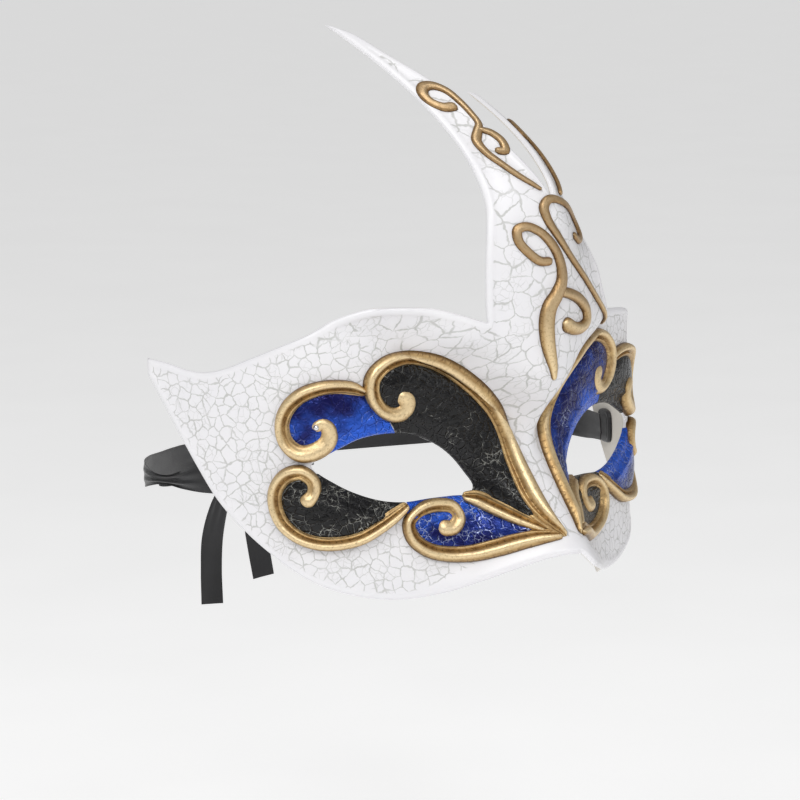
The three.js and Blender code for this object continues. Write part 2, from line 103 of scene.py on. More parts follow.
def curve_through(points, closed=False, fine=24):
    """A centripetal Catmull-Rom line through the points. Columns past the third ride along."""
    p = np.array(points, float)
    if closed:
        p = np.vstack([p[-1], p, p[0], p[1]])
    else:
        p = np.vstack([2 * p[0] - p[1], p, 2 * p[-1] - p[-2]])
    t = np.linspace(0, 1, fine, endpoint=False)[:, None]
    out = []
    for p0, p1, p2, p3 in zip(p, p[1:], p[2:], p[3:]):
        pairs = ((p0, p1), (p1, p2), (p2, p3))
        d0, d1, d2 = (max(np.linalg.norm((b - a)[:3]) ** 0.5, 1e-3) for a, b in pairs)
        m1 = ((p1 - p0) / d0 - (p2 - p0) / (d0 + d1) + (p2 - p1) / d1) * d1
        m2 = ((p2 - p1) / d1 - (p3 - p1) / (d1 + d2) + (p3 - p2) / d2) * d1
        out.append(p1 + m1 * t + (3 * (p2 - p1) - 2 * m1 - m2) * t**2 + (2 * (p1 - p2) + m1 + m2) * t**3)
    out.append(p[-2:-1])
    return np.vstack(out)


def evenly(line, step, axes=2):
    """The line's points respaced by about step, measured over its first axes columns."""
    along = np.r_[0, np.cumsum(np.linalg.norm(np.diff(line[:, :axes], axis=0), axis=1))]
    count = max(2, round(along[-1] / step))
    places = np.linspace(0, along[-1], count + 1)
    return np.column_stack([np.interp(places, along, column) for column in line.T])


def closed_loop(points, step):
    return evenly(curve_through(points, closed=True), step)[:-1]


def cornered_loop(stretches, step):
    return np.vstack([evenly(curve_through(stretch), step)[:-1] for stretch in stretches])


def mirrored(points):
    return [[-p[0], *p[1:]] for p in points]


def along_line(line):
    """Unit tangents of a line."""
    tangent = np.gradient(line, axis=0)
    return tangent / np.maximum(np.linalg.norm(tangent, axis=1, keepdims=True), 1e-9)


# ---- ribbons' routes: (x, y, z, width) along the middle of the wearer's right ribbon, in mm -----
RIBBON_SPAN = [
    [-74.4, 43, -12, 8.6], [-76.6, 48.4, -12.2, 9], [-78.6, 53.8, -12.6, 9.4], [-80, 60, -13.4, 8.4],
    [-80.2, 68, -14.8, 5.6], [-78.8, 76, -16, 3.2], [-76.6, 84, -17, 3.2], [-74, 92, -17.8, 5.2],
    [-69.4, 100.4, -18.4, 8], [-60.8, 109.4, -19.2, 9], [-49.5, 118, -20.2, 9], [-37, 126, -21, 9],
    [-24, 132, -21.8, 8.4], [-14, 135.6, -22.3, 7], [-7.2, 137.6, -22.6, 5],
]
IN_KNOT = [[-3.6, 138.6, -22.6, 4], [-2.2, 140, -22.6, 3.6], [-3.6, 141, -22.6, 4]]
BOW_LOOP = [
    [-7, 141, -22.7, 4.6], [-12, 143, -23.6, 7], [-19, 144.6, -24.6, 9], [-26, 144, -25.8, 9],
    [-31, 141.8, -26.8, 9], [-32.6, 138.8, -27.2, 9], [-29.6, 136.8, -27, 9], [-24, 137, -26, 9],
    [-17, 138.2, -25, 9], [-11, 138.9, -24, 7], [-7, 139, -23.3, 4.6],
]
UNDER_KNOT = [[-4, 138.6, -24.4, 3.8]]
RIBBON_TAILS = {
    "right": [
        [-2.8, 138.4, -28.4, 4], [-4, 140, -34, 5], [-6.5, 141.5, -42, 7.6], [-9, 142, -52, 9],
        [-10.5, 141, -63, 9], [-11.5, 139.4, -74, 9],
    ],
    "left": [
        [2.8, 139.4, -28.4, 4], [4.4, 141.2, -34, 5], [7.5, 142.6, -42, 7.6], [10, 142.8, -51, 9],
        [11, 141.8, -60, 9], [11.6, 140.4, -68, 9],
    ],
}

# ---- the face surface: "across" runs along the face from the median, positive to the wearer's
# right, and "up" is height. Both in millimetres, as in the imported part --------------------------
BRIDGE_DEPTH = 3.5
NOSE_LENGTH = 40
NOSE_RISE = 31
NOSE_EASE = 0.14
CHEEK_TILT = 0.14
BROW_RISE = 17.5
CREST_FRONT = -14.5
CREST_ROUND = 10
PLAN_TURN = [[0, 0], [10, 9], [32, 19], [48, 19], [64, 24], [80, 60], [140, 76]]
PLAN_STEP = 0.25

steps = np.arange(0, 150, PLAN_STEP)
turns = np.radians(np.interp(steps + PLAN_STEP / 2, *np.array(PLAN_TURN).T))
plan_across = np.r_[steps, 150]
plan_side = np.r_[0, np.cumsum(np.cos(turns)) * PLAN_STEP]
plan_back = np.r_[0, np.cumsum(np.sin(turns)) * PLAN_STEP]


def surface(across, up):
    """Points of the face, in millimetres."""
    side = np.interp(np.abs(across), plan_across, plan_side)
    depth = BRIDGE_DEPTH + np.interp(np.abs(across), plan_across, plan_back)
    below = (2 - up) / NOSE_LENGTH
    down = np.minimum((below + np.hypot(below, NOSE_EASE)) / 2, 1.2)
    depth = depth - NOSE_RISE * down**1.15 * np.exp(-((side / (9 + 10 * down)) ** 2))
    cheek = (1 - np.exp(-((side / 20) ** 2))) * smooth((95 - side) / 60)
    depth = depth - CHEEK_TILT * np.clip(-up, 0, 60) * cheek
    rise = np.clip(up, 0, 40)
    brow_width = 6 + 0.45 * rise + 0.035 * rise * rise
    depth = depth - BROW_RISE * smooth((up + 8) / 30) * np.clip(1 - (side / brow_width) ** 2, 0, 1) ** 2
    left = across < 0
    sharpness = 1.25 * (0.38 + np.where(left, 0.9, 0.27) * smooth((up - 45) / 30))
    crest = CREST_FRONT + 0.04 * np.maximum(up - 30, 0) + 0.011 * np.maximum(up - 58, 0) ** 2
    crest = crest + sharpness * (np.sqrt(side * side + CREST_ROUND**2) - CREST_ROUND)
    crest = crest + 0.016 * np.maximum(up - 64, 0) ** 2 * smooth((4 - across) / 8)
    blend = smooth((up - 22) / 16) * smooth((40 + 3 * np.maximum(up - 45, 0) - side) / 16)
    depth = depth * (1 - blend) + crest * blend
    return np.column_stack([-np.sign(across) * side, depth, up])


def lifted(pattern, lift):
    """Points of the face raised along its outward normal, in metres."""
    across, up = pattern[:, 0], pattern[:, 1]
    h = 0.5
    du = surface(across + h, up) - surface(across - h, up)
    dv = surface(across, up + h) - surface(across, up - h)
    normal = np.cross(dv, du)
    normal /= np.linalg.norm(normal, axis=1, keepdims=True)
    return (surface(across, up) + normal * np.reshape(lift, (-1, 1))) * MM


# ---- pattern areas ------------------------------------------------------------------------------


def inside(points, loop):
    odd = np.zeros(len(points), bool)
    x, y = points.T
    for (ax, ay), (bx, by) in zip(loop, np.roll(loop, -1, axis=0)):
        if ay != by:
            odd ^= ((ay > y) != (by > y)) & (x < (bx - ax) * (y - ay) / (by - ay) + ax)
    return odd


def edge_distance(points, loops):
    best = np.full(len(points), np.inf)
    for loop in loops:
        for a, b in zip(loop, np.roll(loop, -1, axis=0)):
            edge = b - a
            t = np.clip((points - a) @ edge / max(edge @ edge, 1e-12), 0, 1)
            best = np.minimum(best, np.linalg.norm(points - a - t[:, None] * edge, axis=1))
    return best


def grid_over(loop, size):
    """Staggered points over a loop's box."""
    (x0, y0), (x1, y1) = loop.min(0), loop.max(0)
    rows = np.arange(y0, y1, size * 0.866)
    columns = np.arange(x0, x1, size)
    x, y = np.meshgrid(columns, rows)
    x = x + (np.arange(len(rows)) % 2)[:, None] * size / 2
    return np.column_stack([x.ravel(), y.ravel()])


def area(outline, holes, size, rings):
    """Pattern points and triangles inside an outline and outside its holes, with rings of points at
    the given distances from the edge, so that a rounded rim has its own rows."""
    loops = [outline, *holes]
    extra = []
    for loop in loops:
        tangent = along_line(np.vstack([loop[-1], loop, loop[0]]))[1:-1]
        normal = np.column_stack([-tangent[:, 1], tangent[:, 0]])
        for ring in rings:
            extra += [loop + normal * ring, loop - normal * ring]
    ring_points = np.vstack(extra)
    wanted = np.concatenate([np.full(2 * len(loop), ring) for loop in loops for ring in rings])
    grid = grid_over(outline, size)
    cloud = np.vstack([ring_points, grid])
    least = np.r_[wanted * 0.93, np.full(len(grid), rings[-1] + size * 0.45)]
    cloud = cloud[(edge_distance(cloud, loops) > least) & within(cloud, outline, holes)]
    edges, start = [], 0
    for loop in loops:
        n = len(loop)
        edges += [(start + i, start + (i + 1) % n) for i in range(n)]
        start += n
    everything = np.vstack([*loops, cloud])
    found = delaunay_2d_cdt([Vector(p) for p in everything], edges, [], 0, 1e-4)
    points = np.array([v[:] for v in found[0]])
    faces = np.array([f for f in found[2]])
    faces = faces[within(points[faces].mean(1), outline, holes)]
    used = np.unique(faces)
    renumber = np.full(len(points), -1)
    renumber[used] = np.arange(len(used))
    return points[used], renumber[faces]


def within(points, outline, holes):
    keep = inside(points, outline)
    for hole in holes:
        keep &= ~inside(points, hole)
    return keep


def rounded(distance, radius):
    """How far a rounded rim of that radius has dropped at a distance from the edge."""
    short = np.clip(radius - distance, 0, radius)
    return radius - np.sqrt(radius * radius - short * short)


# ---- meshes -------------------------------------------------------------------------------------
# the uv map "pattern" is (pattern + shift) / span, so that all of it is positive
PATTERN_SHIFT = 150
PATTERN_SPAN = 100


def make(name, points, faces, body, materials, uv=None, attributes=None, sharp=40, back_faces=0):
    """A smooth-shaded mesh piece. uv is in pattern millimetres, one for each point, and the last
    back_faces faces take the second material."""
    mesh = bpy.data.meshes.new(name)
    mesh.from_pydata([tuple(p) for p in points], [], [tuple(int(i) for i in f) for f in faces])
    mesh.validate()
    if uv is not None:
        layer = mesh.uv_layers.new(name="pattern")
        corner = np.empty(len(mesh.loops), int)
        mesh.loops.foreach_get("vertex_index", corner)
        spread = (np.asarray(uv)[corner] + PATTERN_SHIFT) / PATTERN_SPAN
        layer.data.foreach_set("uv", spread.astype(np.float32).ravel())
    for key, values in (attributes or {}).items():
        mesh.attributes.new(key, "FLOAT", "POINT").data.foreach_set("value", np.asarray(values, np.float32))
    for material in materials:
        mesh.materials.append(material)
    if back_faces:
        index = np.zeros(len(mesh.polygons), np.int32)
        index[-back_faces:] = 1
        mesh.polygons.foreach_set("material_index", index)
    work = bmesh.new()
    work.from_mesh(mesh)
    bmesh.ops.recalc_face_normals(work, faces=work.faces)
    work.to_mesh(mesh)
    work.free()
    mesh.shade_smooth()
    mesh.set_sharp_from_angle(angle=math.radians(sharp))
    piece = bpy.data.objects.new(name, mesh)
    scene.collection.objects.link(piece)
    if body:
        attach(piece, body)
    return piece


def border(faces):
    """Directed edges that only one face has."""
    edges = np.vstack([faces[:, [0, 1]], faces[:, [1, 2]], faces[:, [2, 0]]])
    known = {tuple(e) for e in edges.tolist()}
    return [(a, b) for a, b in known if (b, a) not in known]


def plate(name, pattern, faces, top, bottom, body, materials, attributes):
    """A closed plate between two lifts off the face. Its back takes the second material, if any."""
    n = len(pattern)
    points = np.vstack([lifted(pattern, top), lifted(pattern, bottom)])
    walls = [(a, b, b + n, a + n) for a, b in border(faces)]
    back = faces[:, ::-1] + n
    everything = [*faces.tolist(), *walls, *back.tolist()]
    doubled = {key: np.tile(values, 2) for key, values in attributes.items()}
    return make(name, points, everything, body, materials, uv=np.tile(pattern, (2, 1)),
                attributes=doubled, back_faces=len(back) if len(materials) > 1 else 0)


# ---- materials ----------------------------------------------------------------------------------


class Nodes:
    """Short names for building a material's nodes."""

    def __init__(self, name):
        self.material = bpy.data.materials.new(name)
        self.material.use_nodes = True
        self.tree = self.material.node_tree
        self.shader = self.tree.nodes["Principled BSDF"]

    def node(self, kind, inputs=None, **settings):
        node = self.tree.nodes.new(kind)
        for key, value in settings.items():
            setattr(node, key, value)
        for key, value in (inputs or {}).items():
            self.put(node.inputs[key], value)
        return node

    def put(self, socket, value):
        if isinstance(value, bpy.types.NodeSocket):
            self.tree.links.new(value, socket)
        else:
            socket.default_value = value

    def set(self, **inputs):
        for key, value in inputs.items():
            self.put(self.shader.inputs[key.replace("_", " ")], value)

    def math(self, operation, *values):
        node = self.node("ShaderNodeMath", operation=operation)
        for socket, value in zip(node.inputs, values):
            self.put(socket, value)
        return node.outputs[0]

    def mix(self, share, a, b):
        return self.node("ShaderNodeMix", {0: share, 6: a, 7: b}, data_type="RGBA").outputs[2]

    def span(self, value, low, high, to_low=0.0, to_high=1.0, soft=True):
        node = self.node("ShaderNodeMapRange", interpolation_type="SMOOTHSTEP" if soft else "LINEAR")
        for socket, amount in zip(node.inputs, (value, low, high, to_low, to_high)):
            self.put(socket, amount)
        return node.outputs[0]

    def vector(self, operation, a, b):
        return self.node("ShaderNodeVectorMath", {0: a, 1: b}, operation=operation).outputs[0]

    def pattern(self):
        """Pattern coordinates, in millimetres, both with PATTERN_SHIFT added."""
        uv = self.node("ShaderNodeUVMap", uv_map="pattern").outputs[0]
        return self.vector("MULTIPLY", uv, (PATTERN_SPAN,) * 3)

    def pattern_part(self, axis):
        """Across (axis 0) or up (axis 1), in millimetres."""
        parts = self.node("ShaderNodeSeparateXYZ", {0: self.pattern()})
        return self.math("SUBTRACT", parts.outputs[axis], PATTERN_SHIFT)

    def place(self):
        """Place in the row frame, in millimetres."""
        at = self.node("ShaderNodeTexCoord").outputs["Object"]
        return self.vector("MULTIPLY", at, (1 / MM,) * 3)

    def noise(self, vector, size, detail=2.0, rough=0.5, color=False):
        inputs = {"Vector": vector, "Scale": 1 / size, "Detail": detail, "Roughness": rough}
        node = self.node("ShaderNodeTexNoise", inputs)
        return node.outputs["Color" if color else "Fac"]

    def wander(self, vector, size, amount):
        """The vector moved about by a noise of that size."""
        jitter = self.noise(vector, size, 3, color=True)
        centred = self.vector("SUBTRACT", jitter, (0.5, 0.5, 0.5))
        return self.vector("ADD", vector, self.vector("MULTIPLY", centred, (amount,) * 3))

    def blend_value(self, share, a, b):
        return self.node("ShaderNodeMix", {0: share, 2: a, 3: b}, data_type="FLOAT").outputs[0]

    def crack(self, vector, cell, width, swell):
        """1 along the edges of cells of that size, 0 elsewhere. Its lines swell from place to place."""
        node = self.node("ShaderNodeTexVoronoi", {"Vector": vector, "Scale": 1 / cell, "Randomness": 0.95},
                         feature="DISTANCE_TO_EDGE", voronoi_dimensions="2D")
        reach = self.math("MULTIPLY", swell, width / cell)
        return self.span(node.outputs["Distance"], self.math("MULTIPLY", reach, 0.3), reach, 1.0, 0.0)

    def bump(self, height, strength, distance, normal=None):
        inputs = {"Height": height, "Strength": strength, "Distance": distance * MM}
        if normal is not None:
            inputs["Normal"] = normal
        return self.node("ShaderNodeBump", inputs).outputs[0]

    def attribute(self, name):
        return self.node("ShaderNodeAttribute", attribute_name=name).outputs["Fac"]


def colour(red, green, blue):
    """A colour as seen on screen, 0 to 255, as linear light."""
    seen = (red / 255, green / 255, blue / 255)
    channel = [c / 12.92 if c <= 0.04045 else ((c + 0.055) / 1.055) ** 2.4 for c in seen]
    return (*channel, 1)


def crackle_white():
    n = Nodes("crackled_white_lacquer")
    at = n.wander(n.wander(n.wander(n.pattern(), 9, 3), 2.4, 1.5), 0.9, 0.5)
    across = n.math("ABSOLUTE", n.pattern_part(0))
    up = n.pattern_part(1)
    # cells grow from the temples and cheeks to the brow and again to the crest
    far = n.math("SUBTRACT", across, n.math("MULTIPLY", up, 0.7))
    ragged = n.math("MULTIPLY", n.noise(n.pattern(), 8, 2), 16)
    small = n.span(n.math("ADD", far, ragged), 38, 41)
    crest = n.span(n.math("ADD", up, ragged), 38, 41)
    swell = n.span(n.noise(n.pattern(), 4, 2), 0.3, 0.7, 0.45, 1.5)
    fine = n.crack(at, 3.2, 0.26, swell)
    middle = n.crack(at, 4.2, 0.3, swell)
    large = n.crack(at, 5.2, 0.34, swell)
    line = n.blend_value(crest, n.blend_value(small, middle, fine), large)
    hair_places = n.span(n.noise(n.pattern(), 9, 2), 0.46, 0.6, 0, 0.6)
    line = n.math("MAXIMUM", line, n.math("MULTIPLY", n.crack(at, 2.1, 0.15, swell), hair_places))
    inland = n.span(n.attribute("edge"), 1.6, 2.4)
    fade = n.span(n.noise(n.pattern(), 5, 3), 0.28, 0.6, 0.62, 1.0)
    line = n.math("MULTIPLY", n.math("MULTIPLY", line, inland), fade)
    tone = n.mix(n.noise(n.pattern(), 14, 3), colour(234, 233, 234), colour(227, 226, 230))
    n.set(Base_Color=n.mix(line, tone, colour(192, 192, 190)), Roughness=n.span(line, 0, 1, 0.34, 0.6),
          IOR=1.47)
    n.shader.inputs["Coat Weight"].default_value = 0.2
    n.shader.inputs["Coat Roughness"].default_value = 0.22
    height = n.math("SUBTRACT", n.math("MULTIPLY", n.noise(n.pattern(), 3.5, 3), 0.35), line)
    n.set(Normal=n.bump(height, 0.35, 0.14))
    return n.material


def plain_inside():
    n = Nodes("bare_moulded_plastic")
    mottled = n.noise(n.place(), 7, 4, 0.6)
    n.set(Base_Color=n.mix(mottled, colour(205, 199, 190), colour(224, 219, 211)), Roughness=0.62)
    n.set(Normal=n.bump(n.noise(n.place(), 1.3, 4, 0.6), 0.3, 0.15))
    return n.material


def antique_gold():
    n = Nodes("antique_gold_paint")
    at = n.place()
    ridge = n.attribute("ridge")
    streaks = n.noise(at, 1.2, 4, 0.7)
    worn = n.noise(at, 4, 4, 0.65)
    body = n.mix(n.span(worn, 0.35, 0.65), colour(168, 136, 90), colour(196, 166, 116))
    # painted highlight: the tops of the rolls are mixed towards a pale gold
    body = n.mix(n.span(ridge, 0.6, 1.0), body, colour(232, 208, 164))
    # the gilt turns browner higher up, over the crest's scrolls
    ragged_up = n.math("ADD", n.pattern_part(1), n.math("MULTIPLY", worn, 20))
    body = n.mix(n.span(ragged_up, 30, 62, 0, 0.6), body, colour(142, 108, 74))
    # painted shade with real varnish: the grooves and the edges go brown, partly for old varnish lying
    # there and partly for the shade that falls in them
    varnish_and_shade_ridge = n.math("ADD", ridge, n.math("MULTIPLY", streaks, 0.3))
    shade = n.span(varnish_and_shade_ridge, 0.2, 0.66, 0.95, 0.0)
    flake_lines = n.crack(n.wander(n.pattern(), 1.2, 1.0), 1.9, 0.2, 1.0)
    flakes = n.math("MULTIPLY", flake_lines, n.span(ridge, 0.3, 0.75, 0.75, 0.0))
    grain = n.span(n.noise(at, 0.7, 3, 0.7), 0.48, 0.7, 0, 0.45)
    # the painted groove shade and the flakes darken the gilt towards brown
    tint = n.mix(n.math("MAXIMUM", shade, flakes), body, colour(92, 66, 36))
    n.set(Base_Color=n.mix(grain, tint, colour(140, 108, 66)), Metallic=0.75,
          Roughness=n.span(streaks, 0.2, 0.8, 0.3, 0.5, soft=False))
    bumps = n.bump(n.math("SUBTRACT", n.noise(at, 0.6, 4, 0.65), flakes), 0.45, 0.14)
    n.set(Normal=n.bump(n.noise(at, 2.6, 3), 0.4, 0.4, bumps))
    return n.material


def enamel(name, dark, light, scratch, metallic):
    """Crackled enamel, lighter towards the eye opening, with light scratches that thicken low down."""
    n = Nodes(name)
    at = n.wander(n.wander(n.pattern(), 6, 2.6), 1.0, 1.1)
    away = n.math("MULTIPLY", n.attribute("ridge"), 0.45)
    glow = n.span(n.math("SUBTRACT", n.noise(n.pattern(), 8, 3, 0.5), away), -0.05, 0.5)
    worn = n.math("ADD", n.noise(n.pattern(), 7, 3), n.span(n.pattern_part(1), -24, 10, 0.12, -0.03))
    patches = n.span(worn, 0.5, 0.64)
    scratches = n.math("MULTIPLY", n.crack(at, 2.6, 0.11, 1.0), patches)
    hair = n.math("MULTIPLY", n.crack(at, 1.4, 0.08, 1.0), n.span(worn, 0.58, 0.7))
    broken = n.span(n.noise(n.pattern(), 1.6, 3), 0.36, 0.6)
    line = n.math("MULTIPLY", n.math("MAXIMUM", scratches, hair), broken)
    n.set(Base_Color=n.mix(line, n.mix(glow, dark, light), scratch), Metallic=metallic,
          Roughness=n.span(worn, 0.3, 0.7, 0.16, 0.26), IOR=1.42)
    plates = n.crack(at, 2.6, 0.5, 1.0)
    height = n.math("SUBTRACT", n.math("MULTIPLY", n.noise(n.pattern(), 2.0, 3, 0.55), 1.3), plates)
    n.set(Normal=n.bump(height, 0.8, 0.3))
    n.shader.inputs["Specular IOR Level"].default_value = 0.5
    return n.material


def satin():
    n = Nodes("black_satin")
    parts = n.node("ShaderNodeSeparateXYZ", {0: n.pattern()})
    across_threads = n.math("SINE", n.math("MULTIPLY", parts.outputs[0], 2 * math.pi / 0.35))
    along_threads = n.math("SINE", n.math("MULTIPLY", parts.outputs[1], 2 * math.pi / 0.5))
    weave = n.math("ADD", n.math("MULTIPLY", across_threads, 0.5), n.math("MULTIPLY", along_threads, 0.25))
    soft = n.noise(n.pattern(), 6, 3)
    n.set(Base_Color=n.mix(soft, colour(13, 13, 15), colour(25, 25, 29)),
          Roughness=n.span(soft, 0.2, 0.8, 0.36, 0.5))
    n.shader.inputs["Sheen Weight"].default_value = 0.2
    n.shader.inputs["Sheen Roughness"].default_value = 0.4
    n.set(Normal=n.bump(weave, 0.25, 0.08))
    return n.material


def silver():
    n = Nodes("polished_silver")
    at = n.place()
    n.set(Base_Color=n.mix(n.noise(at, 0.8, 3), colour(205, 208, 213), colour(232, 233, 236)), Metallic=1.0,
          Roughness=n.span(n.noise(at, 0.5, 3), 0.3, 0.7, 0.12, 0.28))
    n.set(Normal=n.bump(n.noise(at, 0.6, 2), 0.2, 0.1))
    return n.material


WHITE = crackle_white()
INSIDE = plain_inside()
GOLD = antique_gold()
BLACK = enamel("black_enamel", colour(2, 2, 3), colour(6, 6, 8), colour(140, 140, 134), 0.0)
BLUE = enamel("blue_enamel", colour(17, 20, 84), colour(42, 92, 204), colour(165, 175, 205), 0.55)
SATIN = satin()
SILVER = silver()

# ---- ribbons ------------------------------------------------------------------------------------
RIBBON_WIDTH = 9
RIBBON_THICK = 0.45
UPRIGHT, SIDEWAYS = (0, 0, 1), (1, 0, 0)


def ribbon_body(route, ribs=14):
    """Rings of a thin band along a route of (x, y, z, width, and the width's direction)."""
    line = evenly(curve_through(route), 1.0, axes=3)
    middle, width, wide = line[:, :3], line[:, 3], line[:, 4:7]
    tangent = along_line(middle)
    thin = np.cross(tangent, wide)
    thin /= np.linalg.norm(thin, axis=1, keepdims=True)
    wide = np.cross(thin, tangent)
    along = np.arange(len(line)) * 1.0
    across = np.linspace(-1, 1, ribs)
    rings, uv = [], []
    for side in (1, -1):
        for q in across * side:
            # the satin cups a little, and gathers into soft folds where it narrows
            gathered = np.clip(1 - width / RIBBON_WIDTH, 0, 1)
            folds = gathered * 1.3 * np.cos(q * 2.6 * math.pi)
            sag = 0.25 * q * q + folds + 0.12 * np.sin(along / 7 + 2 * q)
            lift = sag + side * RIBBON_THICK / 2 * (1 - 0.5 * abs(q) ** 8)
            rings.append(middle + wide * (q * width / 2)[:, None] + thin * lift[:, None])
            uv.append(np.column_stack([along, np.full(len(line), q * RIBBON_WIDTH / 2)]))
    return middle, np.stack(rings, axis=1), np.stack(uv, axis=1)


def tube_faces(stations, sides):
    faces = []
    for i in range(stations - 1):
        for k in range(sides):
            a, b = i * sides + k, i * sides + (k + 1) % sides
            faces.append((a, b, b + sides, a + sides))
    half = sides // 2
    for start in (0, (stations - 1) * sides):
        for k in range(half - 1):
            faces.append((start + k, start + k + 1, start + sides - 2 - k, start + sides - 1 - k))
    return faces


def turned(points, direction):
    return [[*p, *direction] for p in points]


def make_ribbon(side):
    tail = RIBBON_TAILS["right"] if side == "right" else mirrored(RIBBON_TAILS["left"])
    route = turned(RIBBON_SPAN + IN_KNOT + BOW_LOOP, UPRIGHT)
    route += turned(UNDER_KNOT, (0.7, 0, 0.7)) + turned(tail, SIDEWAYS)
    middle, rings, uv = ribbon_body(route)
    if side == "left":
        middle, rings = middle * (-1, 1, 1), rings * (-1, 1, 1)
    stations, sides = rings.shape[:2]
    piece = make(f"satin_ribbon_{side}", rings.reshape(-1, 3) * MM, tube_faces(stations, sides), None,
                 [SATIN], uv=uv.reshape(-1, 2), sharp=60)
    start, end = middle[0] * MM, middle[-1] * MM
    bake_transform(piece)
    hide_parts(f"ribbon_{side}", f"bow_loop_{side}", f"ribbon_tail_{side}")
    return piece, middle * MM


def make_knot():
    low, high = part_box("ribbon_knot")
    centre, half = (low + high) / 2, (high - low) / 2
    columns, rows = 72, 44
    points, uv = [], []
    for i in range(rows + 1):
        polar = math.pi * i / rows
        for k in range(columns):
            turn = 2 * math.pi * k / columns
            x, y, z = math.sin(polar) * math.cos(turn), math.sin(polar) * math.sin(turn), math.cos(polar)
            # the ribbon's folds run up and over the knot, pinched at its sides
            folds = 0.07 * math.cos(9 * x + 2.2 * z) + 0.03 * math.cos(17 * x - 3 * z)
            square = 1 / max((abs(x) ** 4 + abs(y) ** 4 + abs(z) ** 4) ** 0.25, 1e-6)
            size = 0.93 * (0.55 + 0.45 * square) + folds * (1 - abs(x)) * 1.4
            points.append([middle + reach * along * size
                           for middle, reach, along in zip(centre, half, (x, y, z))])
            uv.append([turn * 5, polar * 5])
    faces = [(i * columns + k, i * columns + (k + 1) % columns, (i + 1) * columns + (k + 1) % columns,
              (i + 1) * columns + k) for i in range(rows) for k in range(columns)]
    work = make("satin_knot", points, faces, "strap", [SATIN], uv=np.array(uv), sharp=80)
    mesh = work.data
    cleaner = bmesh.new()
    cleaner.from_mesh(mesh)
    bmesh.ops.remove_doubles(cleaner, verts=cleaner.verts, dist=1e-6)
    bmesh.ops.recalc_face_normals(cleaner, faces=cleaner.faces)
    cleaner.to_mesh(mesh)
    cleaner.free()
    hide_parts("ribbon_knot")
    return work


knot = make_knot()
for side in ("right", "left"):
    ribbon, middle = make_ribbon(side)

# ---- shell --------------------------------------------------------------------------------------
SHELL_THICKNESS = 1.6
RIM_RADIUS = 1.1
SHELL_OUTLINE = [
    # wearer's right brow, from the temple tip to the notch beside the horn
    [[124, 23], [117, 22], [110, 20.3], [104, 20], [98, 21.3], [90, 24.5], [81, 28.3], [72, 32], [64, 36],
     [56, 39.3], [49, 40.3], [40, 39.7], [31, 37.6], [24, 35.3]],
    # tall horn, outer edge
    [[24, 35.3], [24.3, 41], [23.9, 50], [22.2, 60], [20.2, 70], [20.6, 78], [22, 87], [25, 98],
     [28.6, 108], [32, 116], [34.6, 122]],
    # tall horn, inner edge
    [[34.6, 122], [30, 119.5], [25.5, 113.5], [20.5, 107.4], [16.8, 102.5], [14.6, 97], [12, 91.5],
     [8.6, 85.8], [4.8, 79], [0.4, 71.5]],
    # small horn, inner then outer edge, running on into the left brow
    [[0.4, 71.5], [-1.6, 77], [-3.6, 83], [-5.8, 90], [-8.2, 96], [-10.8, 101]],
    [[-10.8, 101], [-13.2, 95.5], [-15.4, 89], [-17.1, 82], [-18.6, 73], [-20.6, 63], [-23, 52],
     [-26, 43], [-31, 36], [-38, 32.6], [-47, 31.4], [-58, 31], [-70, 29.6], [-82, 26.4], [-92, 23],
     [-101, 20.8], [-110, 20.6], [-117, 22], [-124, 23]],
    [[-124, 23], [-123.6, 18]],
    # lower edge, left cheek to nose
    [[-123.6, 18], [-117.6, 8.6], [-112, -0.5], [-107, -8.5], [-100, -18.6], [-91, -27.6], [-81, -35.3],
     [-70, -42.6], [-58, -47], [-47, -48.8], [-36, -48.2], [-25, -45.6], [-15, -42], [-7, -39.2],
     [-2.4, -37.4]],
    [[-2.4, -37.4], [0.4, -33.8]],
    # nose to right cheek
    [[0.4, -33.8], [5, -34], [10, -35.4], [17, -38.7], [25, -42.5], [36, -46.3], [47, -47.4], [58, -46],
     [70, -42], [81, -35.3], [91, -27.6], [100, -18.6], [107, -8.5], [112, -0.5], [117.6, 8.6],
     [123.6, 18]],
    [[123.6, 18], [124, 23]],
]
EYE_OPENING = [
    [70.4, -6.6], [66.5, -4], [61, -1.4], [55, 0.9], [48, 2], [41, 1.8], [35, 0.2], [29.5, -2.6],
    [25, -6.4], [21.7, -10.8], [19.6, -15], [21, -17.3], [27, -17.8], [34, -18.2], [42, -18.8],
    [49, -18], [56, -15.8], [63, -12.3],
]
SIDES = {"right": lambda points: points, "left": mirrored}
shell_loop = cornered_loop(SHELL_OUTLINE, 1.0)
eye_loops = {side: closed_loop(flip(EYE_OPENING), 1.0) for side, flip in SIDES.items()}


def make_shell():
    holes = list(eye_loops.values())
    pattern, faces = area(shell_loop, holes, 1.7, (0.2, 0.5, 0.9, 1.4, 1.9, 2.3, 2.7))
    distance = edge_distance(pattern, [shell_loop, *holes])
    # the smooth border widens under the nose
    across, up = pattern.T
    from_border = distance - 2.6 * smooth((-23 - up) / 8) * smooth((50 - np.abs(across)) / 28)
    top = -0.22 * smooth((from_border - 1.9) / 0.7) - rounded(distance, RIM_RADIUS)
    bottom = -SHELL_THICKNESS + rounded(distance, 0.35)
    piece = plate("shell", pattern, faces, top, bottom, "mask", [WHITE, INSIDE],
                  {"edge": from_border})
    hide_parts("mask_shell")


make_shell()

